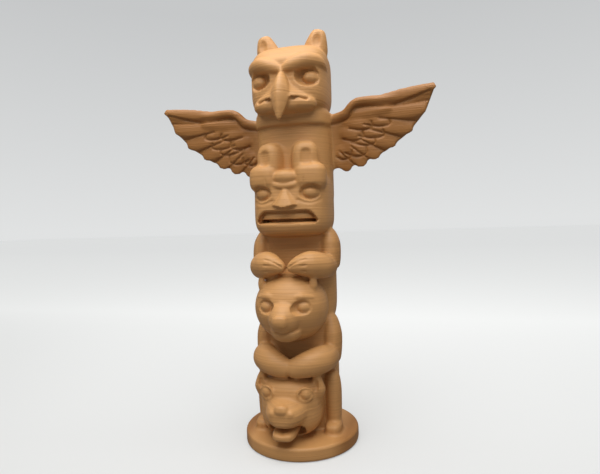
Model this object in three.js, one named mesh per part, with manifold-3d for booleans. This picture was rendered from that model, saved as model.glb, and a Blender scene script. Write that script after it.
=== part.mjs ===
// A small totem pole figurine printed in one piece. From the top down it shows an eagle with ears
// and spread wings, a broad mask-like face, a bear's head held in two arms, and a wolf-like head
// with its tongue out held in two more, all on one column that stands on a round foot.
// Millimetres, +Z up. The figures look towards -Y, the wings reach along X, and the origin is
// where the column's axis meets the foot's flat underside.
import * as THREE from 'three';
import { mergeVertices } from 'three/addons/utils/BufferGeometryUtils.js';
import Module from 'manifold-3d';

const wasm = await Module();
wasm.setup();

// ---- driving dimensions ----
const foot = { radius: 21, height: 4.8, chamfer: 0.7, ahead: 1.2, sides: 36 };
const trunkBack = 13.4; // how far the core and all the bodies reach behind the axis
const core = { half: 12.6, front: 8 }; // what every figure is carved on, across and in depth
const breast = { half: 13.7, front: 9.8 };
const shoulders = { half: 14.1, front: 11.6 };
const torsos = { half: 13.7, front: 8 }; // the arm-bearing bodies, across and in depth
const eagle = { chin: 118.2, crown: 143, eyeLevel: 129.8, earTip: 149.9, beakTip: 114.2 };
const mask = { chin: 75.1, crown: 99, eyeLevel: 90.2 };
const bear = { centre: [0, -8.8, 51], half: [13.1, 11.6, 11.9], eyeLevel: 51.6, aside: -0.5 };
const wolf = { centre: [0, -8.4, 16.1], half: [11, 10.8, 10.6], eyeLevel: 21.6, aside: -1.2 };
const wing = {
  root: 12,
  tip: 51,
  thickness: 2.6,
  sweep: 0.1, // forward lean for each millimetre out
  lean: 0.085, // backward lean for each millimetre down
  feathers: 7,
};
const plasticColour = 0xbd8a57;

// ---- solids from three.js geometry ----

// The closed solid of a geometry. A mirrored or inward-facing one is turned to face out.
function solidOf(geometry) {
  const bare = new THREE.BufferGeometry();
  bare.setAttribute('position', geometry.getAttribute('position'));
  if (geometry.index) bare.setIndex(geometry.index);
  const merged = mergeVertices(bare, 1e-4);
  const corners = merged.index.array;
  const kept = [];
  for (let i = 0; i < corners.length; i += 3) {
    const [a, b, c] = corners.subarray(i, i + 3);
    if (a !== b && b !== c && c !== a) kept.push(a, b, c);
  }
  const build = (triangles) =>
    new wasm.Manifold(
      new wasm.Mesh({
        numProp: 3,
        vertProperties: merged.attributes.position.array,
        triVerts: new Uint32Array(triangles),
      }),
    );
  const solid = build(kept);
  return solid.volume() < 0 ? build(kept.reverse()) : solid;
}

const join = (solids) => solids.reduce((sum, next) => sum.add(next));

// Both solids of a geometry that has a twin across the pole's middle plane.
const pair = (geometry) => [solidOf(geometry), solidOf(geometry.clone().scale(-1, 1, 1))];

const signedPower = (value, power) => Math.sign(value) * Math.abs(value) ** power;

// A ball or, as its powers fall below 1, a block with rounded edges. Its poles lie on Z.
// reach(level) scales the front half's depth at a level from -1 at the bottom to 1 at the top.
function rounded({ at, half, sides = 9, rings = 6, around = 1, upright = 1, turn = 0, reach = () => 1 }) {
  const geometry = new THREE.SphereGeometry(1, sides, rings).rotateX(Math.PI / 2);
  const position = geometry.getAttribute('position');
  for (let i = 0; i < position.count; i++) {
    const height = THREE.MathUtils.clamp(position.getZ(i), -1, 1);
    const ring = Math.sqrt(1 - height * height);
    const angle = Math.atan2(position.getY(i), position.getX(i));
    const out = ring < 1e-6 ? 0 : ring ** upright;
    const level = signedPower(height, upright);
    const ahead = position.getY(i) < 0 ? reach(level) : 1;
    position.setXYZ(
      i,
      half[0] * out * signedPower(Math.cos(angle), around),
      half[1] * out * signedPower(Math.sin(angle), around) * ahead,
      half[2] * level,
    );
  }
  return geometry.rotateZ(turn).translate(...at);
}

// A blunt-ended limb along stations of [x, y, z, radius]. tall stretches its section towards up.
function limb({ stations, up = [0, 0, 1], tall = 1, sides = 6, rings = 6, blunt = 0.35 }) {
  const curve = new THREE.CatmullRomCurve3(stations.map(([x, y, z]) => new THREE.Vector3(x, y, z)));
  const radiusAt = (t) => {
    const place = t * (stations.length - 1);
    const before = Math.min(Math.floor(place), stations.length - 2);
    return THREE.MathUtils.lerp(stations[before][3], stations[before + 1][3], place - before);
  };
  const geometry = new THREE.SphereGeometry(1, sides, rings);
  const position = geometry.getAttribute('position');
  const upward = new THREE.Vector3(...up);
  for (let i = 0; i < position.count; i++) {
    const polar = Math.acos(THREE.MathUtils.clamp(position.getY(i), -1, 1));
    const t = (1 - Math.cos(polar)) / 2;
    const ring = Math.sin(polar);
    const point = curve.getPoint(t);
    if (ring > 1e-6) {
      const along = curve.getTangent(t);
      const side = along.clone().cross(upward).normalize();
      const lift = side.clone().cross(along).normalize();
      const size = (radiusAt(t) * ring ** blunt) / ring;
      point.addScaledVector(side, position.getX(i) * size);
      point.addScaledVector(lift, position.getZ(i) * size * tall);
    }
    position.setXYZ(i, point.x, point.y, point.z);
  }
  return geometry;
}

// A flat shape in the XZ plane, given its thickness along Y about the plane at a chosen Y.
function slab(shape, thickness, at = 0, curveSegments = 2) {
  return new THREE.ExtrudeGeometry(shape, { depth: thickness, bevelEnabled: false, curveSegments })
    .rotateX(Math.PI / 2)
    .translate(0, at + thickness / 2, 0);
}

const outline = (points) => new THREE.Shape(points.map(([x, z]) => new THREE.Vector2(x, z)));

// A tent-like nose or bill: narrow at the top, and wide and forward at its foot.
function wedge({ top, low, topHalf, lowHalf, topFront, lowFront, fall, drop, back }) {
  const geometry = new THREE.BoxGeometry(2, 1, 1, 2, 1, 2);
  const position = geometry.getAttribute('position');
  for (let i = 0; i < position.count; i++) {
    const across = position.getX(i);
    const down = 0.5 - position.getZ(i);
    const ridge = THREE.MathUtils.lerp(topFront, lowFront, down) + fall * across * across;
    const half = THREE.MathUtils.lerp(topHalf, lowHalf, down ** 1.2);
    const sag = down === 1 ? drop * (1 - Math.abs(across)) : 0;
    position.setXYZ(
      i,
      across * half,
      position.getY(i) < 0 ? ridge : back,
      THREE.MathUtils.lerp(top, low, down) - sag,
    );
  }
  return geometry;
}

// ---- foot, column and torsos ----

function makeFoot() {
  const { radius, height, chamfer, ahead, sides } = foot;
  const half = outline([
    [0, 0],
    [radius, 0],
    [radius, height - chamfer],
    [radius - chamfer, height],
    [0, height],
  ]);
  const disc = new THREE.LatheGeometry(half.getPoints(1), sides).rotateX(Math.PI / 2);
  return solidOf(disc.translate(0, -ahead, 0));
}

// An oval trunk between two heights, flatter in front than behind.
function body({ half, front, low, high, upright, rings = 6 }) {
  return rounded({
    at: [0, (trunkBack - front) / 2, (low + high) / 2],
    half: [half, (trunkBack + front) / 2, (high - low) / 2],
    around: 0.85,
    upright,
    sides: 16,
    rings,
  });
}

// The core, the eagle's breast and shoulders, and the two bodies whose arms hold the heads.
function makeColumn() {
  return [
    body({ ...core, low: 1, high: 121, upright: 0.1, rings: 4 }),
    body({ ...breast, low: 88, high: 114.6, upright: 0.1, rings: 4 }),
    body({ ...shoulders, low: 113.8, high: 120.4, upright: 0.3 }),
    body({ ...torsos, low: 42, high: 79, upright: 0.35 }),
    body({ ...torsos, low: 9.6, high: 45.4, upright: 0.35 }),
  ].map(solidOf);
}

// ---- eagle ----

function makeEagleHead() {
  const skull = solidOf(
    rounded({
      at: [0, -0.8, (eagle.chin + eagle.crown) / 2],
      half: [13.9, 13.7, (eagle.crown - eagle.chin) / 2],
      around: 0.66,
      upright: 0.42,
      sides: 20,
      rings: 8,
      reach: (level) => 1 - 0.6 * Math.max(level - 0.3, 0) ** 1.2,
    }),
  );
  const ears = pair(
    limb({
      stations: [
        [8.4, 0.6, 139, 5],
        [9, 0.2, 143.4, 4.5],
        [10, -0.2, 147.2, 3.5],
        [10.7, -0.4, eagle.earTip, 2],
      ],
      up: [0, 1, 0],
      tall: 0.75,
      sides: 8,
    }),
  );
  const earHollows = pair(rounded({ at: [10.7, -3.2, 145.6], half: [2, 2, 3.6], sides: 8 }));
  const sockets = pair(
    rounded({ at: [9.4, -13.4, eagle.eyeLevel], half: [4.9, 3.6, 3.7], turn: 0.6, around: 0.9, sides: 8 }),
  );
  const eyes = pair(rounded({ at: [9.1, -10.3, eagle.eyeLevel], half: [2.7, 2.3, 2.3], turn: 0.6 }));
  const brows = pair(
    limb({
      stations: [
        [-0.6, -12.6, 133.4, 1.3],
        [3.4, -12.7, 134.8, 2.1],
        [8, -11, 136.4, 2.4],
        [11.8, -7.4, 135.8, 2.2],
        [12.8, -2.4, 134.2, 1.2],
      ],
      tall: 1.1,
      rings: 7,
      sides: 6,
    }),
  );
  return join([skull, ...ears])
    .subtract(join([...sockets, ...earHollows]))
    .add(join([...eyes, ...brows, makeBeak()]));
}

// The tent of the upper bill, its hooked point, and the lips below the curved gape.
function makeBeak() {
  const tent = solidOf(
    wedge({
      top: 132,
      low: 123.4,
      topHalf: 1.7,
      lowHalf: 7.6,
      topFront: -14.4,
      lowFront: -18.3,
      fall: 5.2,
      drop: 1.4,
      back: -8,
    }),
  );
  const hook = solidOf(
    limb({
      stations: [
        [0, -14, 126, 2.2],
        [0, -15.8, 122, 2.7],
        [0, -16.6, 118.4, 2.1],
        [0, -17.9, eagle.beakTip, 0.8],
      ],
      up: [0, 1, 0],
      tall: 1.1,
    }),
  );
  const lips = pair(
    rounded({ at: [6, -11.6, 120.3], half: [4.6, 3, 2.5], turn: 0.35, around: 0.9, upright: 0.9 }),
  );
  const gapes = pair(
    limb({
      stations: [
        [2.4, -15.4, 121.7, 0.4],
        [6.2, -14.8, 123, 0.6],
        [10.2, -12.4, 121.6, 0.4],
      ],
      sides: 5,
      rings: 5,
    }),
  );
  return join([tent, ...lips]).subtract(join(gapes)).add(hook);
}

// One wing: a scalloped plate with two raised rows of coverts and a rounded leading edge.
function makeWings() {
  const plate = new THREE.Shape().moveTo(wing.root, 118.6);
  plate.splineThru(
    [
      [18, 119],
      [23.2, 124.1],
      [29, 124.2],
      [36, 123.7],
      [45, 124.9],
      [50, 126.2],
    ].map(([x, z]) => new THREE.Vector2(x, z)),
  );
  plate.lineTo(wing.tip, 125.6);
  const trailing = [
    [wing.tip, 124.4],
    [48.2, 116.6],
    [42.2, 109.4],
    [34, 103.7],
    [24, 99.7],
    [wing.root, 98.1],
  ];
  addScallops(plate, trailing, wing.feathers, 0.9);
  const layers = [slab(plate, wing.thickness, 0, 3)];
  // Each row of coverts ends in scallops and stands out in front of the row below it.
  const rows = [
    { end: 35.4, foot: 103.6, lobes: 5, proud: 0.8 },
    { end: 29.4, foot: 110.2, lobes: 3, proud: 1.5 },
  ];
  for (const { end, foot: low, lobes, proud } of rows) {
    const row = outline([
      [wing.root, 117.4],
      [18, 117.8],
      [23.4, 121.8],
      [end, 121.8],
      [end - 0.8, 118.4],
    ]);
    addScallops(row, [[end - 0.8, 118.4], [wing.root, low]], lobes, 1.3);
    layers.push(slab(row, wing.thickness, -proud));
  }
  layers.push(
    limb({
      stations: [
        [wing.root, 0, 117.2, 2.3],
        [19, 0, 118.6, 2],
        [24, 0, 122.6, 1.9],
        [35, 0, 122.4, 1.6],
        [49.8, 0, 125.2, 0.9],
      ],
      tall: 0.9,
      rings: 8,
      sides: 5,
    }),
  );
  const lean = new THREE.Matrix4().makeShear(-wing.sweep, 0, 0, 0, 0, -wing.lean);
  const back = wing.sweep * 14 + wing.lean * 124;
  return layers.map((layer) => layer.applyMatrix4(lean).translate(0, back, 0)).flatMap(pair);
}

// Feather tips along a line of points, as bulging arcs that meet in notches on it.
function addScallops(shape, points, count, bulge) {
  const edge = new THREE.SplineCurve(points.map(([x, z]) => new THREE.Vector2(x, z)));
  for (let i = 0; i < count; i++) {
    const from = edge.getPoint(i / count);
    const to = edge.getPoint((i + 1) / count);
    const run = to.clone().sub(from).normalize();
    const middle = edge.getPoint((i + 0.6) / count).add(new THREE.Vector2(-run.y, run.x).multiplyScalar(-1.4 * bulge));
    if (i === 0) shape.lineTo(from.x, from.y);
    shape.quadraticCurveTo(middle.x, middle.y, to.x, to.y);
  }
}

// ---- mask face ----

function makeMask() {
  const block = {
    at: [0, -1.8, (mask.chin + mask.crown) / 2],
    half: [13.8, 13.3, (mask.crown - mask.chin) / 2],
    around: 0.64,
    upright: 0.4,
    sides: 20,
    rings: 8,
  };
  const skull = solidOf(rounded(block));
  const within = (depth) => solidOf(rounded({ ...block, half: block.half.map((size) => size - depth) }));
  const ears = pair(
    rounded({ at: [6.2, -11, 101], half: [4.4, 3.4, 6.9], around: 0.85, upright: 0.7, turn: 0.4 }),
  );
  const earHollows = pair(
    rounded({ at: [7.2, -14.4, 100.2], half: [2.5, 1.9, 4.9], upright: 0.6, turn: 0.4, sides: 8 }),
  );
  const brows = pair(
    rounded({ at: [8.2, -9.4, 95.9], half: [5.4, 5.6, 4.3], around: 0.8, upright: 0.7, turn: 0.25 }),
  );
  const sockets = pair(rounded({ at: [9.1, -14.4, mask.eyeLevel], half: [4.5, 3, 2.8], turn: 0.5 }));
  const eyes = pair(rounded({ at: [8.8, -12, mask.eyeLevel], half: [2.6, 1.9, 2.1], turn: 0.5 }));
  const knot = solidOf(rounded({ at: [0, -13.9, 95.7], half: [4.6, 2, 2] }));
  const frown = solidOf(
    limb({
      stations: [
        [-6, -13.2, 94, 0.8],
        [0, -14.6, 92.7, 1.3],
        [6, -13.2, 94, 0.8],
      ],
    }),
  );
  const nose = solidOf(
    wedge({
      top: 92.4,
      low: 86.6,
      topHalf: 1.6,
      lowHalf: 4.5,
      topFront: -15.6,
      lowFront: -17.8,
      fall: 2.6,
      drop: 1.5,
      back: -12,
    }),
  );
  const across = (points) => solidOf(slab(outline(points), 16, -16));
  const lips = across([
    [-10, 80.4],
    [-9.2, 79.6],
    [9.2, 79.6],
    [10, 80.4],
    [8.4, 84.2],
    [-8.4, 84.2],
  ]);
  const teeth = across([
    [-8.6, 81.4],
    [8.6, 81.4],
    [8, 83.4],
    [-8, 83.4],
  ]);
  return join([skull, ...ears, ...brows])
    .subtract(join([...sockets, ...earHollows, lips.subtract(within(2.6))]))
    .add(join([...eyes, knot, frown, nose, teeth.intersect(within(1.1))]));
}

// ---- arms and legs ----

// A pair of arms: each hangs from the shoulder, bends and brings its hand to the middle.
function makeArms({ upper, lower }) {
  const parts = [
    limb({ stations: upper, up: [0, 1, 0], tall: 1.25, sides: 7 }),
    limb({ stations: lower, tall: 1.05, sides: 8, rings: 8 }),
  ];
  return parts.flatMap(pair);
}

const maskArms = {
  upper: [
    [11.2, 0, 77.4, 2.6],
    [12.6, -1.6, 72, 3.8],
    [12.9, -3, 63, 4],
  ],
  lower: [
    [13, -3, 63.6, 4],
    [11, -9.6, 64.6, 4.6],
    [7.4, -13.4, 65.5, 4.5],
    [3.8, -15.4, 65.2, 3.3],
    [0.5, -16.2, 64.2, 1.5],
  ],
};
const bearArms = {
  upper: [
    [11.2, 0, 46, 2.8],
    [12.5, -1.8, 39, 3.6],
    [12.6, -3, 29, 3.6],
  ],
  lower: [
    [12.4, -3.4, 31.6, 4.3],
    [10.4, -10.4, 32, 4.7],
    [5.6, -14.8, 31, 4.3],
    [-0.6, -16.2, 29.2, 3.4],
  ],
};

function makeLegs() {
  const shin = limb({
    stations: [
      [12.2, -3.4, 26, 2.8],
      [12.8, -4, 19, 3],
      [12.8, -3.6, 3, 2.8],
    ],
    up: [0, 1, 0],
    tall: 1.2,
    sides: 7,
  });
  const toes = rounded({ at: [12, -6.4, 6.6], half: [3, 5, 2.6], around: 0.5, upright: 0.4, sides: 8 });
  return [shin, toes].flatMap(pair);
}

// ---- bear ----

function makeBearHead() {
  const skull = solidOf(rounded({ at: bear.centre, half: bear.half, around: 0.94, sides: 15, rings: 9 }));
  const ears = pair(rounded({ at: [9.3, -13.9, 58.8], half: [1.5, 1.1, 3], turn: 0.5, sides: 6, rings: 5 }));
  const sockets = pair(rounded({ at: [7, -20.4, bear.eyeLevel], half: [4.2, 3.4, 2.9], turn: 0.4 }));
  const eyes = pair(rounded({ at: [6.6, -17.3, bear.eyeLevel - 0.3], half: [2.4, 1.7, 2], turn: 0.4 }));
  const muzzle = solidOf(
    limb({
      stations: [
        [0, -11, 49, 7.6],
        [0, -17.4, 48.6, 5.8],
        [0, -21.6, 47.6, 4.7],
        [0, -24.6, 46.9, 3.4],
      ],
      tall: 0.98,
      sides: 10,
      rings: 7,
    }),
  );
  const nose = solidOf(rounded({ at: [0, -23.9, 48.2], half: [3.1, 1.7, 1.9], around: 0.8, upright: 0.8 }));
  const mouthLine = pair(
    limb({
      stations: [
        [-0.2, -23.3, 43.4, 0.4],
        [3, -22.2, 43.5, 0.5],
        [6, -20, 44.8, 0.4],
      ],
      sides: 5,
      rings: 5,
    }),
  );
  return join([skull, ...ears])
    .subtract(join(sockets))
    .add(join([...eyes, muzzle, nose]))
    .subtract(join(mouthLine))
    .translate([bear.aside, 0, 0]);
}

// ---- wolf ----

function makeWolfHead() {
  const skull = solidOf(
    rounded({ at: wolf.centre, half: wolf.half, around: 0.85, upright: 0.8, sides: 13, rings: 8 }),
  );
  const ears = pair(
    limb({
      stations: [
        [9.2, -12, 18.4, 1.8],
        [10, -12.8, 23, 2.8],
        [8.6, -13.2, 27.4, 1.1],
      ],
      up: [0, 1, 0],
      tall: 0.8,
    }),
  );
  const sockets = pair(rounded({ at: [6.9, -19, wolf.eyeLevel], half: [3.1, 2, 2.7], turn: 0.45 }));
  const eyes = pair(rounded({ at: [6.6, -17.2, wolf.eyeLevel - 0.1], half: [2, 1.6, 1.9], turn: 0.45 }));
  const muzzle = solidOf(
    limb({
      stations: [
        [0, -10, 15.6, 8.6],
        [0, -17, 15.6, 7.6],
        [0, -21.6, 15.8, 5.8],
        [0, -24.6, 16, 4],
      ],
      tall: 0.72,
      sides: 10,
      rings: 7,
    }),
  );
  const nose = [-2.3, 0, 2.3].map((x) =>
    solidOf(rounded({ at: [x, -23.5 + 0.2 * x * x, 19 - 0.16 * x * x], half: [1.8, 1.7, 1.5], sides: 8 })),
  );
  const gape = solidOf(
    rounded({ at: [0, -20, 9], half: [6.8, 9, 3], around: 0.6, upright: 0.6, rings: 6 }),
  );
  const tongue = solidOf(
    rounded({ at: [0, -16.4, 9], half: [3.7, 8.4, 1.4], around: 0.7, upright: 0.6, sides: 12 }),
  );
  return join([skull, ...ears])
    .subtract(join(sockets))
    .add(join([...eyes, muzzle, ...nose]))
    .subtract(gape)
    .add(tongue)
    .translate([wolf.aside, 0, 0]);
}

// ---- the whole figurine ----

const whole = join([
  makeFoot(),
  ...makeColumn(),
  ...makeLegs(),
  makeWolfHead(),
  ...makeArms(bearArms),
  makeBearHead(),
  ...makeArms(maskArms),
  makeMask(),
  ...makeWings(),
  makeEagleHead(),
]);

const surface = whole.getMesh();
const geometry = new THREE.BufferGeometry();
geometry.setAttribute('position', new THREE.BufferAttribute(new Float32Array(surface.vertProperties), 3));
geometry.setIndex(new THREE.BufferAttribute(new Uint32Array(surface.triVerts), 1));
geometry.computeVertexNormals();
const plastic = new THREE.MeshStandardMaterial({ color: plasticColour, roughness: 0.62, metalness: 0 });
const figurine = new THREE.Mesh(geometry, plastic);
figurine.name = 'totem_pole';

const totem = new THREE.Group();
totem.add(figurine);

export default totem;
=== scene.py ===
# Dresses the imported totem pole: one printed piece, carved finer than its solid and given a printed
# plastic finish, on a pale floor under soft light. The figure's sizes are millimetres of a design
# 149.9 mm high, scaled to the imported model's own height. The stage's sizes are metres.
import math

import bmesh
import bpy
import numpy as np
from mathutils import Matrix, Vector
from mathutils.geometry import interpolate_bezier


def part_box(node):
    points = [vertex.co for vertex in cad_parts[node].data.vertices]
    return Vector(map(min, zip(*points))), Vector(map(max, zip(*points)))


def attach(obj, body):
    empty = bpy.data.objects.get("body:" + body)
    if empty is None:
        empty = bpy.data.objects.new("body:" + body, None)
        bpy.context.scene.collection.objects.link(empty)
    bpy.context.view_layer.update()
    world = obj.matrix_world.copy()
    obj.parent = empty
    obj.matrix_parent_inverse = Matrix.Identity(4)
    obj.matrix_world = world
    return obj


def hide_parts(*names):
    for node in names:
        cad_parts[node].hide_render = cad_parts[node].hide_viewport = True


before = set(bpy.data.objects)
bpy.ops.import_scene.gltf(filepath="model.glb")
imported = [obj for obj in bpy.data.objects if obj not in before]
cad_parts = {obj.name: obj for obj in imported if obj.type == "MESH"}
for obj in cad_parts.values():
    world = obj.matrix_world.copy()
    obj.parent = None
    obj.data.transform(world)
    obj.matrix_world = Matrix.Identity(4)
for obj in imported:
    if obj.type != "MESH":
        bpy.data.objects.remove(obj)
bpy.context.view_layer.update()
nodeLow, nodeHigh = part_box("totem_pole")
designHeight = 149.9
unit = (nodeHigh.z - nodeLow.z) / designHeight  # metres for one millimetre of the design


def signedPower(value, power):
    return math.copysign(abs(value) ** power, value)


# Evenly numbered points on a soft curve through the given ones.
def smoothCurve(points, steps):
    spots = [Vector(point[:3]) for point in points]
    tangents = []
    for i in range(len(spots)):
        before, after = spots[max(i - 1, 0)], spots[min(i + 1, len(spots) - 1)]
        tangents.append((after - before) / 6)
    line = []
    for i in range(len(spots) - 1):
        handles = (spots[i], spots[i] + tangents[i], spots[i + 1] - tangents[i + 1], spots[i + 1])
        part = interpolate_bezier(*handles, steps + 1)
        line += part if i == len(spots) - 2 else part[:-1]
    return line


# A ball. As around, in plan, or upright, in its side view, falls below 1 it turns to a block with
# rounded edges. The function reach pulls its front in or out by height.
def addBall(bm, at, half, around=1.0, upright=1.0, turn=0.0, lean=0.0, reach=None, segments=32, rings=20):
    made = bmesh.ops.create_uvsphere(bm, u_segments=segments, v_segments=rings, radius=1.0)["verts"]
    for vert in made:
        x, y, z = vert.co
        ring = math.hypot(x, y)
        angle = math.atan2(y, x)
        out = ring ** upright if ring > 1e-6 else 0.0
        level = signedPower(z, upright)
        ahead = reach(level) if reach and y < 0 else 1.0
        across = half[0] * out * signedPower(math.cos(angle), around)
        depth = half[1] * out * signedPower(math.sin(angle), around) * ahead
        vert.co = (across, depth, half[2] * level)
    place = Matrix.Translation(at) @ Matrix.Rotation(turn, 4, "Z") @ Matrix.Rotation(lean, 4, "X")
    bmesh.ops.transform(bm, matrix=place, verts=made)
    return made


# A limb along stations of x, y, z and radius, its ends rounder as blunt nears 1. Its section is
# stretched towards up by tall, turned by roll, and narrowed by keel to a ridge on the side away
# from up.
def addLimb(bm, stations, up=(0, 0, 1), tall=1.0, blunt=0.35, roll=0.0, keel=0.0, segments=20, rings=28):
    made = bmesh.ops.create_uvsphere(bm, u_segments=segments, v_segments=rings, radius=1.0)["verts"]
    line = smoothCurve(stations, 12)
    last = len(line) - 1
    upward = Vector(up)
    for vert in made:
        x, y, z = vert.co
        t = (z + 1) / 2
        place = min(max(t, 0.0), 1.0) * last
        i = min(int(place), last - 1)
        point = line[i].lerp(line[i + 1], place - i)
        along = (line[min(i + 2, last)] - line[max(i - 1, 0)]).normalized()
        side = along.cross(upward).normalized()
        lift = side.cross(along).normalized()
        part = t * (len(stations) - 1)
        k = min(int(part), len(stations) - 2)
        radius = stations[k][3] + (stations[k + 1][3] - stations[k][3]) * (part - k)
        ring = math.hypot(x, y)
        size = radius * ring ** blunt / ring if ring > 1e-6 else 0.0
        across = x * size * (1 - keel * max(-y / max(ring, 1e-6), 0))
        high = y * size * tall
        turnedAcross = across * math.cos(roll) - high * math.sin(roll)
        turnedHigh = across * math.sin(roll) + high * math.cos(roll)
        vert.co = point + side * turnedAcross + lift * turnedHigh
    return made


# Adds a form and its twin on the other side of the pole's middle plane.
def addPair(make, bm, **form):
    made = make(bm, **form)
    faces = list(dict.fromkeys(face for vert in made for face in vert.link_faces))
    bmesh.ops.mirror(bm, geom=made + faces, matrix=Matrix(), merge_dist=-1, axis="X")


# Pulls a sheet out into a closed form, and returns the vertices of its new side.
def pullOut(bm, faces):
    grown = bmesh.ops.extrude_face_region(bm, geom=faces)["geom"]
    return [item for item in grown if isinstance(item, bmesh.types.BMVert)]


# A flat outline of x and z, pulled out between two depths.
def addPlate(bm, outline, front, back):
    corners = [bm.verts.new((x, front, z)) for x, z in outline]
    moved = pullOut(bm, [bm.faces.new(corners)])
    bmesh.ops.translate(bm, verts=moved, vec=(0, back - front, 0))
    return corners + moved


# A tent-like nose or bill, narrow at the top and wide at its foot. Its ridge runs from topFront to
# lowFront and is flatter as flat grows, its sides fall back by fall, the middle of its foot hangs
# lower by drop, and back is its far side.
def addTent(bm, top, low, topHalf, lowHalf, topFront, lowFront, fall, drop, back, flat):
    made = bmesh.ops.create_grid(bm, x_segments=12, y_segments=12, size=1.0)["verts"]
    for vert in made:
        across, down = vert.co.x, (1 - vert.co.y) / 2
        half = topHalf + (lowHalf - topHalf) * down ** 1.2
        ridge = topFront + (lowFront - topFront) * down + fall * abs(across) ** flat
        level = top + (low - top) * down - drop * down ** 4 * (1 - abs(across))
        vert.co = (across * half, ridge, level)
    moved = pullOut(bm, list(dict.fromkeys(face for vert in made for face in vert.link_faces)))
    for vert in moved:
        vert.co.y = back
    return made + moved


# The eye sockets, cut out of a face, and the eyeballs in them.
def addEyes(hollows, details, face):
    addPair(addBall, hollows, **face["socket"])
    addPair(addBall, details, **face["eyeball"])


# Makes a head and moves it sideways, since the lower heads aren't quite on the pole's middle.
def addAside(make, aside, meshes):
    before = [set(bm.verts) for bm in meshes]
    make(*meshes)
    for bm, old in zip(meshes, before):
        bmesh.ops.translate(bm, verts=[vert for vert in bm.verts if vert not in old], vec=(aside, 0, 0))


def makeObject(name, bm):
    bmesh.ops.recalc_face_normals(bm, faces=bm.faces)
    mesh = bpy.data.meshes.new(name)
    bm.to_mesh(mesh)
    bm.free()
    piece = bpy.data.objects.new(name, mesh)
    bpy.context.scene.collection.objects.link(piece)
    return piece


def applyModifiers(piece):
    bpy.context.view_layer.objects.active = piece
    for modifier in list(piece.modifiers):
        bpy.ops.object.modifier_apply(modifier=modifier.name)


# Fuses all the closed forms of a piece into one skin and softens the joins.
def remesh(piece, voxel, passes):
    fused = piece.modifiers.new("fuse", "REMESH")
    fused.mode = "VOXEL"
    fused.voxel_size = voxel
    soft = piece.modifiers.new("soften", "SMOOTH")
    soft.factor = 0.5
    soft.iterations = passes
    applyModifiers(piece)


# Thins a dense mesh to about the wanted number of triangles, its flattest stretches first.
def thin(piece, triangles):
    piece.data.calc_loop_triangles()
    fewer = piece.modifiers.new("thin", "DECIMATE")
    fewer.ratio = triangles / len(piece.data.loop_triangles)
    applyModifiers(piece)


def cutOut(piece, other):
    cut = piece.modifiers.new("cut", "BOOLEAN")
    cut.operation = "DIFFERENCE"
    cut.solver = "MANIFOLD"
    cut.object = other
    applyModifiers(piece)
    bpy.data.objects.remove(other)


# Puts another object's mesh into a piece.
def absorb(piece, other):
    bm = bmesh.new()
    bm.from_mesh(piece.data)
    bm.from_mesh(other.data)
    bm.to_mesh(piece.data)
    bm.free()
    bpy.data.objects.remove(other)


chisel = {
    "steps": 30,
    "reach": 3,  # how many widths away a line is still felt
    "facing": 0.3,  # how far forward the surface has to look for a line drawn from the front
}


# Presses soft grooves into a piece. A facing line is drawn from the front, so its depth doesn't
# matter. A paired line has a twin on the other side of the middle plane.
def engrave(piece, lines):
    mesh = piece.data
    count = len(mesh.vertices)
    coords = np.empty(count * 3, np.float32)
    normals = np.empty(count * 3, np.float32)
    mesh.vertices.foreach_get("co", coords)
    mesh.vertices.foreach_get("normal", normals)
    coords, normals = coords.reshape(-1, 3), normals.reshape(-1, 3)
    push = np.zeros(count, np.float32)
    for line in lines:
        axes = [0, 2] if line["facing"] else [0, 1, 2]
        for side in (1, -1) if line["paired"] else (1,):
            points = (np.array(smoothCurve(line["points"], chisel["steps"])) * (side, 1, 1))[:, axes]
            reach = chisel["reach"] * line["width"]
            spots = coords[:, axes]
            near = np.all((spots > points.min(0) - reach) & (spots < points.max(0) + reach), axis=1)
            if line["facing"]:
                near &= normals[:, 1] < -chisel["facing"]
            if not near.any():
                continue
            gap = np.min(np.linalg.norm(spots[near][:, None] - points[None], axis=2), axis=1)
            press = line["depth"] * np.exp(-((gap / line["width"]) ** 2))
            push[near] = np.maximum(push[near], press)
    coords -= normals * push[:, None]
    mesh.vertices.foreach_set("co", coords.ravel())
    mesh.update()


def groove(points, width, depth, facing=False, paired=True):
    return {"points": points, "width": width, "depth": depth, "facing": facing, "paired": paired}


# The round foot, the column, and the chests and bellies of the figures on it. Each section of the
# column has its half width, its front, its lowest and highest level, and how round its ends are.
pole = {
    "footRadius": 20.9,
    "footHeight": 4.75,
    "footAhead": 1.2,
    "footRound": 0.7,
    "back": 13.4,
    "around": 0.85,
    "sections": {
        "core": {"half": 12.6, "front": 8, "low": 1, "high": 121, "upright": 0.1},
        "breast": {"half": 13.7, "front": 9.8, "low": 88, "high": 114.6, "upright": 0.08},
        "shoulders": {"half": 14.1, "front": 11.6, "low": 113.8, "high": 120.4, "upright": 0.3},
        "upperBelly": {"half": 13.6, "front": 7.8, "low": 42, "high": 79, "upright": 0.35},
        "lowerBelly": {"half": 13.6, "front": 7.8, "low": 9.6, "high": 45.4, "upright": 0.35},
    },
}


# The foot comes first, so every level edge of the mesh is on its two rims.
def addFoot(bm):
    radius, high = pole["footRadius"], pole["footHeight"]
    place = Matrix.Translation((0, -pole["footAhead"], high / 2))
    bmesh.ops.create_cone(
        bm, cap_ends=True, segments=72, radius1=radius, radius2=radius, depth=high, matrix=place
    )
    rims = [edge for edge in bm.edges if abs(edge.verts[0].co.z - edge.verts[1].co.z) < high / 2]
    bmesh.ops.bevel(
        bm,
        geom=rims,
        offset=pole["footRound"],
        offset_type="OFFSET",
        affect="EDGES",
        segments=4,
        profile=0.5,
        material=-1,
    )


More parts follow.
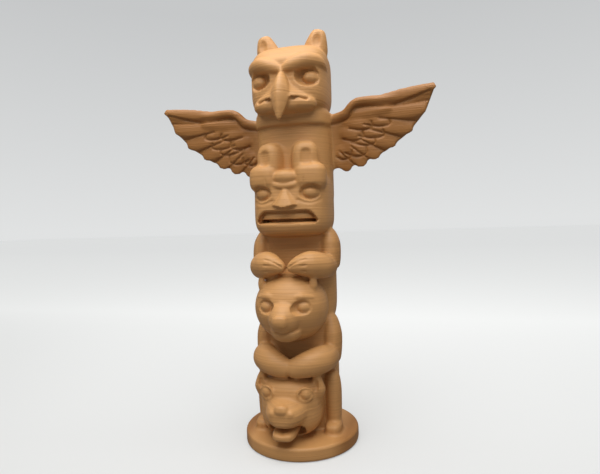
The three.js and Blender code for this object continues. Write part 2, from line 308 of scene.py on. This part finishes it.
def addColumn(bm):
    for section in pole["sections"].values():
        deep, high = pole["back"] + section["front"], section["high"] - section["low"]
        middle = (0, pole["back"] - deep / 2, section["low"] + high / 2)
        half = (section["half"], deep / 2, high / 2)
        addBall(bm, middle, half, pole["around"], section["upright"], segments=72, rings=40)


# The eagle's head, with its hooked bill and heavy brows.
eagle = {
    "skull": {
        "at": (0, -0.8, 130.6),
        "half": (13.9, 13.7, 12.4),
        "around": 0.66,
        "upright": 0.42,
        "segments": 72,
        "rings": 48,
    },
    "slopeFrom": 0.42,
    "slope": 0.62,
    "slopePower": 1.1,
    "ear": {
        "stations": [
            (8.2, 0.8, 138.6, 5.2),
            (8.9, 0.3, 142.6, 4.8),
            (9.8, -0.2, 146.2, 3.8),
            (10.6, -0.4, 149.7, 2.7),
        ],
        "up": (0, 1, 0),
        "tall": 0.72,
    },
    "earHollow": {"at": (10.4, -4.6, 145.6), "half": (2.6, 2.6, 4.1)},
    "chin": {"at": (0, -12.4, 120.9), "half": (7, 4.2, 3.2), "around": 0.8, "upright": 0.7},
    "lip": {"at": (6.3, -11.8, 120.7), "half": (5, 3.7, 2.7), "around": 0.9, "upright": 0.9, "turn": 0.35},
    "socket": {"at": (9.4, -14, 129.8), "half": (5, 4.4, 3.7), "around": 0.85, "turn": 0.6},
    "eyeball": {"at": (9.2, -10.1, 129.6), "half": (2.9, 2.1, 2.3), "turn": 0.6},
    "bill": {
        "top": 132,
        "low": 122.2,
        "topHalf": 2.4,
        "lowHalf": 9.2,
        "topFront": -15.5,
        "lowFront": -19.1,
        "fall": 5,
        "drop": 0.2,
        "back": -8,
        "flat": 1.15,
    },
    "hook": {
        "stations": [
            (0, -13.6, 131.4, 1.3),
            (0, -15.5, 128.6, 2.4),
            (0, -16.6, 125, 3.2),
            (0, -17.4, 121.6, 3.1),
            (0, -18.4, 118, 2.2),
            (0, -19.4, 114.3, 0.7),
        ],
        "up": (0, 1, 0),
        "keel": 0.4,
    },
    "brow": {
        "stations": [
            (-0.4, -13.6, 131.8, 1.6),
            (3.2, -13.7, 133.4, 2.5),
            (7.8, -12.1, 135.1, 2.9),
            (11.6, -8.4, 134.9, 2.6),
            (12.8, -3, 133, 1.5),
        ],
    },
}


# The forehead slopes back above the brows.
def foreheadReach(level):
    return 1 - eagle["slope"] * max(level - eagle["slopeFrom"], 0) ** eagle["slopePower"]


def addEagle(mass, hollows, details):
    addBall(mass, reach=foreheadReach, **eagle["skull"])
    addPair(addLimb, mass, **eagle["ear"])
    addBall(mass, **eagle["chin"])
    addPair(addBall, mass, **eagle["lip"])
    addPair(addBall, hollows, **eagle["earHollow"])
    addTent(details, **eagle["bill"])
    addLimb(details, **eagle["hook"])
    addEyes(hollows, details, eagle)
    addPair(addLimb, details, **eagle["brow"])


# The mask-like face below the wings, with its ears, the lumps of its brows and the knot between.
mask = {
    "skull": {
        "at": (0, -1.8, 87.05),
        "half": (13.8, 13.3, 11.95),
        "around": 0.64,
        "upright": 0.4,
        "segments": 72,
        "rings": 40,
    },
    "reach": 1.02,
    "slope": 0.08,
    "ear": {"at": (6.3, -10, 101.2), "half": (4.7, 3.9, 6.9), "around": 0.75, "upright": 0.6, "turn": 0.4},
    "earHollow": {
        "at": (7.8, -14.5, 102.6),
        "half": (2.3, 1.7, 3.1),
        "around": 0.75,
        "upright": 0.6,
        "turn": 0.4,
    },
    "browLump": {
        "at": (7.8, -9.2, 95.7),
        "half": (5.9, 6.3, 5),
        "around": 0.7,
        "upright": 0.62,
        "turn": 0.2,
    },
    "socket": {"at": (9.2, -15, 90.1), "half": (4.8, 3.5, 2.9), "turn": 0.5},
    "eyeball": {"at": (8.8, -12.2, 90.2), "half": (3, 1.9, 2.1), "turn": 0.5},
    "knot": {"at": (0, -13.5, 95.7), "half": (4.6, 2.6, 2.6)},
    "frown": {
        "stations": [
            (-6.6, -13.2, 94.4, 0.7),
            (-2.6, -14.5, 92.9, 1.1),
            (2.6, -14.5, 92.9, 1.1),
            (6.6, -13.2, 94.4, 0.7),
        ],
    },
    "nose": {
        "top": 92.2,
        "low": 86.2,
        "topHalf": 1.7,
        "lowHalf": 4.9,
        "topFront": -15.2,
        "lowFront": -18.1,
        "fall": 3.2,
        "drop": 1.2,
        "back": -12,
        "flat": 2.6,
    },
    "mouth": {
        "right": [(10.2, 79.7), (10.9, 80.7), (9.9, 82.6), (7.9, 84.1)],
        "deep": 1.5,
    },
    "slot": {
        "right": [(10.1, 80.2), (9.7, 81.3)],
        "deep": 4,
    },
    "cutFront": -26,
    "cutBack": -6,
}


# The face leans forward towards the chin.
def maskReach(level):
    return mask["reach"] - mask["slope"] * level


def addMask(mass, hollows, details):
    addBall(mass, reach=maskReach, **mask["skull"])
    addPair(addBall, mass, **mask["ear"])
    addPair(addBall, mass, **mask["browLump"])
    addPair(addBall, hollows, **mask["earHollow"])
    addEyes(hollows, details, mask)
    addBall(details, **mask["knot"])
    addLimb(details, **mask["frown"])
    addTent(details, **mask["nose"])


# Cuts an opening, drawn as its right half from the bottom up, that is equally deep all over, so
# that its floor follows the face.
def carveOpening(piece, right, deep):
    left = [(-x, z) for x, z in reversed(right)]
    skull = dict(mask["skull"])
    skull["half"] = [size - deep for size in skull["half"]]
    plate, inner = bmesh.new(), bmesh.new()
    addPlate(plate, right + left, mask["cutFront"], mask["cutBack"])
    addBall(inner, reach=maskReach, **skull)
    opening = makeObject("opening", plate)
    cutOut(opening, makeObject("innerFace", inner))
    cutOut(piece, opening)


# The two pairs of arms, whose hands meet in front, and the legs.
arms = {
    "upperTall": 1.25,
    "lowerTall": 1.05,
    "maskUpper": [(11.2, 0, 77.4, 2.6), (12.6, -1.6, 72, 3.8), (12.9, -3, 63, 4)],
    "maskLower": [
        (13, -3, 63.6, 4),
        (11, -9.6, 64.6, 4.6),
        (7.4, -13.4, 65.5, 4.5),
        (3.8, -15.4, 65.2, 3.3),
        (0.5, -16.2, 64.2, 1.5),
    ],
    "bearUpper": [(11.2, 0, 46, 2.8), (12.5, -1.8, 39, 3.6), (12.6, -3, 29, 3.6)],
    "bearLower": [
        (12.4, -3.4, 31.6, 4.3),
        (10.4, -10.4, 32, 4.7),
        (5.6, -14.8, 31, 4.3),
        (-0.6, -16.2, 29.2, 3.4),
    ],
}
leg = {
    "shin": {
        "stations": [(12.2, -3.4, 26, 2.8), (12.8, -4, 19, 3), (12.8, -3.6, 3, 2.8)],
        "up": (0, 1, 0),
        "tall": 1.2,
    },
    "toes": {"at": (13, -5.6, 6.2), "half": (3, 4.8, 2.3), "around": 0.7, "upright": 0.6},
}


def addArms(mass):
    for name in ("mask", "bear"):
        addPair(addLimb, mass, stations=arms[name + "Upper"], up=(0, 1, 0), tall=arms["upperTall"])
        addPair(addLimb, mass, stations=arms[name + "Lower"], tall=arms["lowerTall"])


def addLegs(mass):
    addPair(addLimb, mass, **leg["shin"])
    addPair(addBall, mass, **leg["toes"])


# The bear's head, held between the two pairs of arms.
bear = {
    "aside": -0.5,
    "skull": {
        "at": (0, -8.8, 50.4),
        "half": (13.1, 11.8, 12.5),
        "around": 0.94,
        "segments": 64,
        "rings": 48,
    },
    "muzzle": {
        "stations": [(0, -11, 48.4, 8), (0, -17.4, 48.2, 6.2), (0, -21.2, 47.4, 5), (0, -23.9, 46.8, 3.8)],
        "tall": 0.98,
        "segments": 40,
        "rings": 40,
    },
    "chin": {"at": (0.2, -17, 43.2), "half": (5.4, 5.3, 3.8)},
    "ear": {"at": (9.3, -13.9, 58.8), "half": (1.5, 1.1, 3), "turn": 0.5},
    "socket": {"at": (7, -20.4, 51.6), "half": (4.2, 3.4, 2.9), "turn": 0.4},
    "eyeball": {"at": (6.6, -17, 51.3), "half": (2.4, 1.7, 2), "turn": 0.4},
    "brow": {"stations": [(1.6, -18.7, 54.3, 0.8), (5.8, -17.9, 55, 1.3), (9.8, -15.4, 54.4, 0.9)]},
    "nose": {"at": (0, -23.7, 47.6), "half": (2.7, 2.2, 2.3), "around": 0.75, "upright": 0.75},
}


def addBear(mass, hollows, details):
    addBall(mass, **bear["skull"])
    addLimb(mass, **bear["muzzle"])
    addBall(mass, **bear["chin"])
    addPair(addBall, details, **bear["ear"])
    addEyes(hollows, details, bear)
    addPair(addLimb, details, **bear["brow"])
    addBall(details, **bear["nose"])


# The wolf-like head on the foot, with its mouth open and its tongue out.
wolf = {
    "aside": -1.2,
    "skull": {
        "at": (0, -8.4, 16.1),
        "half": (11, 10.8, 10.6),
        "around": 0.8,
        "upright": 0.62,
        "segments": 64,
        "rings": 40,
    },
    "ear": {
        "stations": [(9.4, -11.6, 17.4, 1.8), (10.2, -12.4, 22.4, 2.8), (9.8, -13, 27.8, 1.1)],
        "up": (0, 1, 0),
        "tall": 0.8,
    },
    "earHollow": {"at": (10, -15, 24), "half": (1.1, 1.6, 2.4)},
    "muzzle": {
        "stations": [(0, -10, 15.2, 9), (0, -16.4, 15.3, 7.6), (0, -20.8, 15.4, 6.4), (0, -24.3, 15.5, 5)],
        "tall": 0.74,
        "segments": 40,
        "rings": 40,
    },
    "mouth": {"at": (0, -20, 8.8), "half": (6.6, 9, 2.7), "around": 0.6, "upright": 0.6},
    "tongue": {"at": (0, -16, 9.1), "half": (4, 8.2, 1.6), "around": 0.5, "upright": 0.5, "lean": 0.05},
    "socket": {"at": (7, -19.4, 21.6), "half": (2.8, 2.6, 2.5), "turn": 0.45},
    "eyeball": {"at": (6.9, -16.6, 21.6), "half": (2, 1.6, 1.9), "turn": 0.45},
    "lid": {"at": (6.9, -17.4, 21.6), "across": 2.5, "high": 2.3, "radius": 0.42, "turn": 0.42, "steps": 8},
    "nose": {"at": (0, -23.1, 18), "half": (2.5, 1.7, 1.8), "around": 0.9, "upright": 0.9},
    "nostril": {"at": (2.9, -22.9, 16.7), "half": (1.6, 1.5, 1.4)},
}


# A thin ring round the eye, which follows the turn of the face.
def lidStations():
    lid = wolf["lid"]
    x, y, z = lid["at"]
    stations = []
    for step in range(lid["steps"] + 1):
        angle = math.tau * step / lid["steps"]
        out = lid["across"] * math.cos(angle)
        stations.append((x + out, y + lid["turn"] * out, z + lid["high"] * math.sin(angle), lid["radius"]))
    return stations


def addWolf(mass, hollows, details):
    addBall(mass, **wolf["skull"])
    addPair(addLimb, mass, **wolf["ear"])
    addLimb(mass, **wolf["muzzle"])
    addEyes(hollows, details, wolf)
    addPair(addBall, hollows, **wolf["earHollow"])
    addBall(hollows, **wolf["mouth"])
    addPair(addLimb, details, stations=lidStations(), up=(0, 1, 0))
    addBall(details, **wolf["nose"])
    addPair(addBall, details, **wolf["nostril"])
    addBall(details, **wolf["tongue"])


# The wings: shingled feathers on a thin plate. Places are x and z. The whole wing is then sheared
# forward by its distance outside sweepFrom, and leant back and thinned below leanFrom. The long
# feathers, the primaries, run from the top down, each a little behind the last, and the short
# ones, the coverts, lie on them. A feather's width is measured from its middle line to its edge.
wing = {
    "top": [(12, 118.2), (18, 118.6), (23.2, 123.6), (29, 123.8), (36, 123.3), (45, 124.5), (50.4, 125.8)],
    "trail": [(50.2, 123.6), (47.4, 116.8), (41.6, 110.2), (33.6, 104.6), (24, 100.8), (12, 99.2)],
    "plateHalf": 1,
    "sweep": 0.1,
    "sweepFrom": 14,
    "lean": 4,
    "leanFrom": 124,
    "leanOver": 26,
    "thickTop": 1.1,
    "thickLow": 0.6,
    "primaries": [
        {"root": (27, 121.4), "tip": (50.9, 124.2), "width": 2.2},
        {"root": (30, 117.2), "tip": (47.6, 117.6), "width": 3.4},
        {"root": (26, 114.6), "tip": (43.2, 111.4), "width": 3.4},
        {"root": (23, 111.8), "tip": (37.4, 106.8), "width": 3.3},
        {"root": (20, 109.4), "tip": (31.4, 102.8), "width": 3.2},
        {"root": (17, 107.6), "tip": (26.2, 100.2), "width": 3.1},
        {"root": (13, 106.4), "tip": (20.6, 98.8), "width": 3},
    ],
    "primaryDepth": -0.9,
    "primaryStep": 0.08,
    "primaryRise": 0.3,
    "primaryShares": [(0, 0.8), (0.5, 1), (0.85, 0.85), (1, 0.5)],
    "coverts": [
        {"root": (16, 106.6), "tip": (19.4, 104.6), "width": 3.2, "proud": 0.5},
        {"root": (18, 108), "tip": (25, 105.2), "width": 3.1, "proud": 0.55},
        {"root": (20, 111), "tip": (28.2, 108.4), "width": 2.4, "proud": 0.6},
        {"root": (22, 112.8), "tip": (31.4, 110.6), "width": 2.2, "proud": 0.65},
        {"root": (17, 112.4), "tip": (24, 110.6), "width": 2.6, "proud": 0.8},
        {"root": (19, 115.6), "tip": (27.4, 113.8), "width": 2.2, "proud": 0.95},
        {"root": (24, 116.4), "tip": (33.6, 114.2), "width": 2, "proud": 0.9},
        {"root": (18, 117.6), "tip": (36, 118.6), "width": 2, "proud": 1},
    ],
    "covertDepth": -0.7,
    "covertShares": [(0, 0.8), (0.6, 1), (1, 0.7)],
    "edgeWidth": 0.34,
    "primaryEdge": 0.55,
    "covertEdge": 0.6,
    "armEdge": [(14, 0, 115.2), (20, 0, 116.6), (24, 0, 120.2), (36, 0, 119.7), (49, 0, 122.8)],
    "armBone": {
        "stations": [
            (12, -0.4, 117, 2.2),
            (19, -0.5, 118.3, 1.9),
            (24, -0.5, 122, 1.8),
            (35, -0.4, 121.8, 1.7),
            (49.6, 0, 124.9, 0.9),
        ],
        "tall": 0.95,
    },
}


# Stations from a feather's root to its tip, which stands out by rise more than the root. Shares are
# places along it and the part of the width that it has there.
def featherStations(feather, shares, depth, rise):
    (rootX, rootZ), (tipX, tipZ) = feather["root"], feather["tip"]
    stations = []
    for t, share in shares:
        x, z = rootX + (tipX - rootX) * t, rootZ + (tipZ - rootZ) * t
        stations.append((x, depth - rise * t, z, feather["width"] * share))
    return stations


def addWing(bm):
    fresh = set(bm.verts)
    addPlate(bm, wing["top"] + wing["trail"], -wing["plateHalf"], wing["plateHalf"])
    for i, feather in enumerate(wing["primaries"]):
        depth = wing["primaryDepth"] + wing["primaryStep"] * i
        stations = featherStations(feather, wing["primaryShares"], depth, wing["primaryRise"])
        addLimb(bm, stations, up=(0, 1, 0), tall=0.3, roll=0.2)
    for feather in wing["coverts"]:
        stations = featherStations(feather, wing["covertShares"], wing["covertDepth"], feather["proud"])
        addLimb(bm, stations, up=(0, 1, 0), tall=0.36, roll=0.12)
    addLimb(bm, **wing["armBone"])
    made = [vert for vert in bm.verts if vert not in fresh]
    for vert in made:
        down = min(max((wing["leanFrom"] - vert.co.z) / wing["leanOver"], 0), 1)
        vert.co.y *= wing["thickTop"] + (wing["thickLow"] - wing["thickTop"]) * down
        vert.co.y += wing["lean"] * down - wing["sweep"] * (vert.co.x - wing["sweepFrom"])
    return made


# A feather's root and tip, its direction, and the way from its middle line down to its edge.
def featherPlane(feather):
    root, tip = Vector(feather["root"]), Vector(feather["tip"])
    along = (tip - root).normalized()
    down = Vector((along.y, -along.x)) * feather["width"]
    return root, tip, along, down if down.y < 0 else -down


def edgeGroove(route, depth):
    points = [(spot.x, 0, spot.y) for spot in route]
    return groove(points, wing["edgeWidth"], depth, facing=True)


# Dark edges above each long feather but the first, and below and round the tip of each short one
# but the last, with one more below the arm.
def featherLines():
    lines = []
    for feather in wing["primaries"][1:]:
        root, tip, along, down = featherPlane(feather)
        edge = -0.62 * down
        route = [root.lerp(tip, 0.3) + edge, root.lerp(tip, 0.65) + edge, tip + 1.1 * edge + 0.6 * along]
        lines.append(edgeGroove(route, wing["primaryEdge"]))
    for feather in wing["coverts"][:-1]:
        root, tip, along, down = featherPlane(feather)
        edge = 0.9 * down
        route = [root.lerp(tip, 0.25) + edge, root.lerp(tip, 0.8) + edge]
        route += [tip + 1.5 * along + 0.3 * edge, tip + along - 0.6 * edge]
        lines.append(edgeGroove(route, wing["covertEdge"]))
    lines.append(groove(wing["armEdge"], 0.4, 0.6, facing=True))
    return lines


# Lines drawn into the fused surface, named for what they part or mark.
grooves = {
    "lipLine": groove([(4.2, 0, 121.9), (6.4, 0, 122.2), (8.6, 0, 121.8)], 0.5, 0.9, facing=True),
    "neck": groove([(0.01, -9.9, 114.2), (7, -9.3, 114.2), (12.6, -5, 114.2)], 0.35, 0.4),
    "innerFrown": groove([(6.8, -15.4, 95.2), (6.6, -15.4, 94), (6.4, -15, 92.8)], 0.3, 0.3),
    "outerFrown": groove([(10.2, -14.2, 95.2), (10, -14.2, 94), (9.8, -14, 92.8)], 0.3, 0.3),
    "underEye": groove([(4.6, -15.2, 87.7), (8.6, -14.2, 86.7), (12.8, -11.4, 88)], 0.5, 0.35),
    "teeth": groove(
        [(0.01, 0, 83.7), (4, 0, 83.7), (7.8, 0, 83.6), (9.4, 0, 82.2)],
        0.4,
        0.8,
        facing=True,
    ),
    "topFinger": groove([(7.4, -17.6, 67.8), (4.4, -18.2, 66.9), (1.2, -17.6, 65)], 0.3, 0.5),
    "middleFinger": groove([(7.4, -17.9, 65.6), (4.4, -18.6, 65.3), (1.2, -17.8, 64.4)], 0.3, 0.5),
    "lowFinger": groove([(7.2, -17.6, 63.4), (4.4, -18.3, 63.6), (1.2, -17.6, 63.8)], 0.3, 0.5),
    "bearNose": groove(
        [(0.01, -26, 45.9), (2.6, -25.6, 46.6), (3, -25.2, 48.4), (1.6, -24.8, 50), (0.01, -24.8, 50.3)],
        0.35,
        0.35,
    ),
    "bearMouth": groove(
        [(-2.4, 0, 43.4), (-0.7, 0, 43), (1.2, 0, 43.2), (4.2, 0, 44.2)],
        0.4,
        0.8,
        facing=True,
        paired=False,
    ),
    "tongue": groove([(-1.2, -24, 10.6), (-1.2, -20, 10.8), (-1.2, -16, 10.8)], 1, 0.5, paired=False),
}

carving = {
    "massVoxel": 0.42,
    "massPasses": 3,
    "detailVoxel": 0.36,
    "detailPasses": 2,
    "triangles": 185000,
}

mass, hollows, details = bmesh.new(), bmesh.new(), bmesh.new()
addFoot(mass)
addColumn(mass)
addEagle(mass, hollows, details)
addMask(mass, hollows, details)
addArms(mass)
addLegs(mass)
addAside(addBear, bear["aside"], (mass, hollows, details))
addAside(addWolf, wolf["aside"], (mass, hollows, details))
addPair(addWing, mass)
totem = makeObject("totemPole", mass)
remesh(totem, carving["massVoxel"], carving["massPasses"])
print("forms fused:", len(totem.data.polygons))

cutOut(totem, makeObject("hollows", hollows))
carveOpening(totem, **mask["mouth"])
carveOpening(totem, **mask["slot"])
absorb(totem, makeObject("details", details))
remesh(totem, carving["detailVoxel"], carving["detailPasses"])
engrave(totem, list(grooves.values()) + featherLines())
print("carved:", len(totem.data.polygons))

thin(totem, carving["triangles"])
totem.data.transform(Matrix.Diagonal((unit, unit, unit, 1)))
for polygon in totem.data.polygons:
    polygon.use_smooth = True
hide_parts("totem_pole")
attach(totem, "root")
print("thinned:", len(totem.data.polygons))

# The printed plastic: level streaks of a lighter and a darker tone, as shares of each colour. The
# wings carry painted shade: their colour is darker, from wingShadeFrom, in millimetres off the middle
# plane, to wingShadeFull.
finish = {
    "colour": (0.55, 0.28, 0.098),
    # The wings' colour is painted shade: the body colour darkened to stand for the shade they take.
    "wings": (0.35, 0.152, 0.04),
    "wingShadeFrom": 14,
    "wingShadeFull": 18,
    "roughness": 0.5,
    "specular": 0.35,
    "streaks": (0.78, 1.14),
    "streakScale": (25, 25, 2200),
    "streakDetail": 2,
    "bump": 0.5,
    "bumpHeight": 0.0003,
}


# A share of painted shade that is 0 on the body and 1 on the wings.
def addWingShadeShare(nodes, links, place):
    apart = nodes.new("ShaderNodeSeparateXYZ")
    outside = nodes.new("ShaderNodeMath")
    outside.operation = "ABSOLUTE"
    share = nodes.new("ShaderNodeMapRange")
    share.inputs["From Min"].default_value = finish["wingShadeFrom"] * unit
    share.inputs["From Max"].default_value = finish["wingShadeFull"] * unit
    links.new(place.outputs["Object"], apart.inputs["Vector"])
    links.new(apart.outputs["X"], outside.inputs[0])
    links.new(outside.outputs["Value"], share.inputs["Value"])
    return share.outputs["Result"]


def makePlastic():
    plastic = bpy.data.materials.new("printedPlastic")
    plastic.use_nodes = True
    nodes, links = plastic.node_tree.nodes, plastic.node_tree.links
    shader = nodes["Principled BSDF"]
    shader.inputs["Roughness"].default_value = finish["roughness"]
    shader.inputs["Specular IOR Level"].default_value = finish["specular"]
    place = nodes.new("ShaderNodeTexCoord")
    stretch = nodes.new("ShaderNodeMapping")
    stretch.inputs["Scale"].default_value = finish["streakScale"]
    layers = nodes.new("ShaderNodeTexNoise")
    layers.inputs["Scale"].default_value = 1
    layers.inputs["Detail"].default_value = finish["streakDetail"]
    links.new(place.outputs["Object"], stretch.inputs["Vector"])
    links.new(stretch.outputs["Vector"], layers.inputs["Vector"])
    # Blends in the darker wing colour, which is painted shade, by the wing share.
    blend = nodes.new("ShaderNodeMixRGB")
    links.new(addWingShadeShare(nodes, links, place), blend.inputs["Fac"])
    for part, socket in (("colour", "Color1"), ("wings", "Color2")):
        streaks = nodes.new("ShaderNodeValToRGB")
        for element, share in zip(streaks.color_ramp.elements, finish["streaks"]):
            element.color = tuple(value * share for value in finish[part]) + (1,)
        links.new(layers.outputs["Fac"], streaks.inputs["Fac"])
        links.new(streaks.outputs["Color"], blend.inputs[socket])
    links.new(blend.outputs["Color"], shader.inputs["Base Color"])
    bump = nodes.new("ShaderNodeBump")
    bump.inputs["Strength"].default_value = finish["bump"]
    bump.inputs["Distance"].default_value = finish["bumpHeight"]
    links.new(layers.outputs["Fac"], bump.inputs["Height"])
    links.new(bump.outputs["Normal"], shader.inputs["Normal"])
    return plastic


totem.data.materials.clear()
totem.data.materials.append(makePlastic())
print("finish ready")

# The camera stands azimuth degrees to the right of the front, at a height and a distance in the
# figure's millimetres, and faces the pole's axis but for the yaw. Nearest is metres.
view = {
    "azimuth": 15.21,
    "height": 79.52,
    "distance": 174.88,
    "pitch": 1.62,
    "roll": -1.79,
    "yaw": -0.30,
    "lens": 28.03,
    "sensor": 36,
    "nearest": 0.005,
}


def makeCamera():
    azimuth = math.radians(view["azimuth"])
    away = view["distance"]
    spot = Vector((away * math.sin(azimuth), -away * math.cos(azimuth), view["height"])) * unit
    heading = azimuth + math.radians(view["yaw"])
    pitch, roll = math.radians(view["pitch"]), math.radians(view["roll"])
    level = Vector((-math.sin(heading), math.cos(heading), 0))
    ahead = level * math.cos(pitch) - Vector((0, 0, math.sin(pitch)))
    right = Vector((math.cos(heading), math.sin(heading), 0))
    upright = right.cross(ahead)
    across = right * math.cos(roll) + upright * math.sin(roll)
    upward = upright * math.cos(roll) - right * math.sin(roll)
    camera = bpy.data.objects.new("camera", bpy.data.cameras.new("camera"))
    bpy.context.scene.collection.objects.link(camera)
    camera.data.sensor_width = view["sensor"]
    camera.data.lens = view["lens"]
    camera.data.clip_start = view["nearest"]
    camera.matrix_world = Matrix.Translation(spot) @ Matrix((across, upward, -ahead)).transposed().to_4x4()
    bpy.context.scene.camera = camera


makeCamera()

# The floor and the wall behind it. The camera sees a floor that glows by itself, from near through
# middle to far along floorReach, and the light that goes round sees a plain dim one. Fill is the
# even light of the room.
stage = {
    "floorSize": 8.0,
    "floor": (0.4, 0.4, 0.395, 1),
    "floorRoughness": 0.8,
    "floorNear": (0.3, 0.305, 0.3, 1),
    "floorMiddle": (0.6, 0.61, 0.605, 1),
    "floorFar": (0.56, 0.57, 0.57, 1),
    "middleAt": 0.2,
    "floorReach": (-0.05, 1.3),
    "bounce": (0.26, 0.25, 0.24, 1),
    "fill": 0.35,
    "wallLow": (0.75, 0.76, 0.76, 1),
    "wallHigh": (0.565, 0.575, 0.58, 1),
    "wallReach": (0, 0.4),
}


# A soft change of colour along one axis of the given coordinates, through a middle one if given.
def addGradient(tree, coordinates, axis, spread, low, high, middle=None):
    place = tree.nodes.new("ShaderNodeTexCoord")
    split = tree.nodes.new("ShaderNodeSeparateXYZ")
    scale = tree.nodes.new("ShaderNodeMapRange")
    shade = tree.nodes.new("ShaderNodeValToRGB")
    scale.inputs["From Min"].default_value, scale.inputs["From Max"].default_value = spread
    shade.color_ramp.elements[0].color, shade.color_ramp.elements[1].color = low, high
    if middle:
        shade.color_ramp.elements.new(stage["middleAt"]).color = middle
    tree.links.new(place.outputs[coordinates], split.inputs["Vector"])
    tree.links.new(split.outputs[axis], scale.inputs["Value"])
    tree.links.new(scale.outputs["Result"], shade.inputs["Fac"])
    return shade.outputs["Color"]


# Shows one shader to the camera and another to the light that goes round.
def splitSight(tree, seen, other, output):
    path = tree.nodes.new("ShaderNodeLightPath")
    mix = tree.nodes.new("ShaderNodeMixShader")
    tree.links.new(path.outputs["Is Camera Ray"], mix.inputs["Fac"])
    tree.links.new(other.outputs[0], mix.inputs[1])
    tree.links.new(seen.outputs[0], mix.inputs[2])
    tree.links.new(mix.outputs["Shader"], tree.nodes[output].inputs["Surface"])


def makeFloorPaint():
    paint = bpy.data.materials.new("floorPaint")
    paint.use_nodes = True
    tree = paint.node_tree
    shader = tree.nodes["Principled BSDF"]
    shader.inputs["Base Color"].default_value = stage["floor"]
    shader.inputs["Roughness"].default_value = stage["floorRoughness"]
    shader.inputs["Emission Strength"].default_value = 1
    near, middle, far = stage["floorNear"], stage["floorMiddle"], stage["floorFar"]
    glow = addGradient(tree, "Object", "Y", stage["floorReach"], near, far, middle)
    tree.links.new(glow, shader.inputs["Emission Color"])
    bounce = tree.nodes.new("ShaderNodeBsdfDiffuse")
    bounce.inputs["Color"].default_value = stage["bounce"]
    splitSight(tree, shader, bounce, "Material Output")
    return paint


def makeFloor():
    bm = bmesh.new()
    bmesh.ops.create_grid(bm, x_segments=1, y_segments=1, size=stage["floorSize"] / 2)
    floor = makeObject("floor", bm)
    floor.data.materials.append(makeFloorPaint())


# The world lights the figure evenly, and looks like a plain wall behind it.
def makeWorld():
    world = bpy.data.worlds.new("studio")
    world.use_nodes = True
    tree = world.node_tree
    fill = tree.nodes["Background"]
    fill.inputs["Color"].default_value = (1, 1, 1, 1)
    fill.inputs["Strength"].default_value = stage["fill"]
    wall = tree.nodes.new("ShaderNodeBackground")
    shade = addGradient(tree, "Generated", "Z", stage["wallReach"], stage["wallLow"], stage["wallHigh"])
    tree.links.new(shade, wall.inputs["Color"])
    splitSight(tree, wall, fill, "World Output")
    bpy.context.scene.world = world
    bpy.context.scene.view_settings.view_transform = "Standard"


softbox = {"from": (0.01, -0.105, 0.35), "size": 0.34, "power": 1.6}


# A square softbox above the front, which faces the middle of the figure.
def makeSoftbox():
    lamp = bpy.data.objects.new("overhead", bpy.data.lights.new("overhead", "AREA"))
    lamp.data.size = softbox["size"]
    lamp.data.energy = softbox["power"]
    lamp.location = softbox["from"]
    aim = Vector((0, 0, nodeHigh.z / 2)) - lamp.location
    lamp.rotation_mode = "QUATERNION"
    lamp.rotation_quaternion = aim.to_track_quat("-Z", "Y")
    bpy.context.scene.collection.objects.link(lamp)


makeFloor()
makeWorld()
makeSoftbox()
print("stage ready")
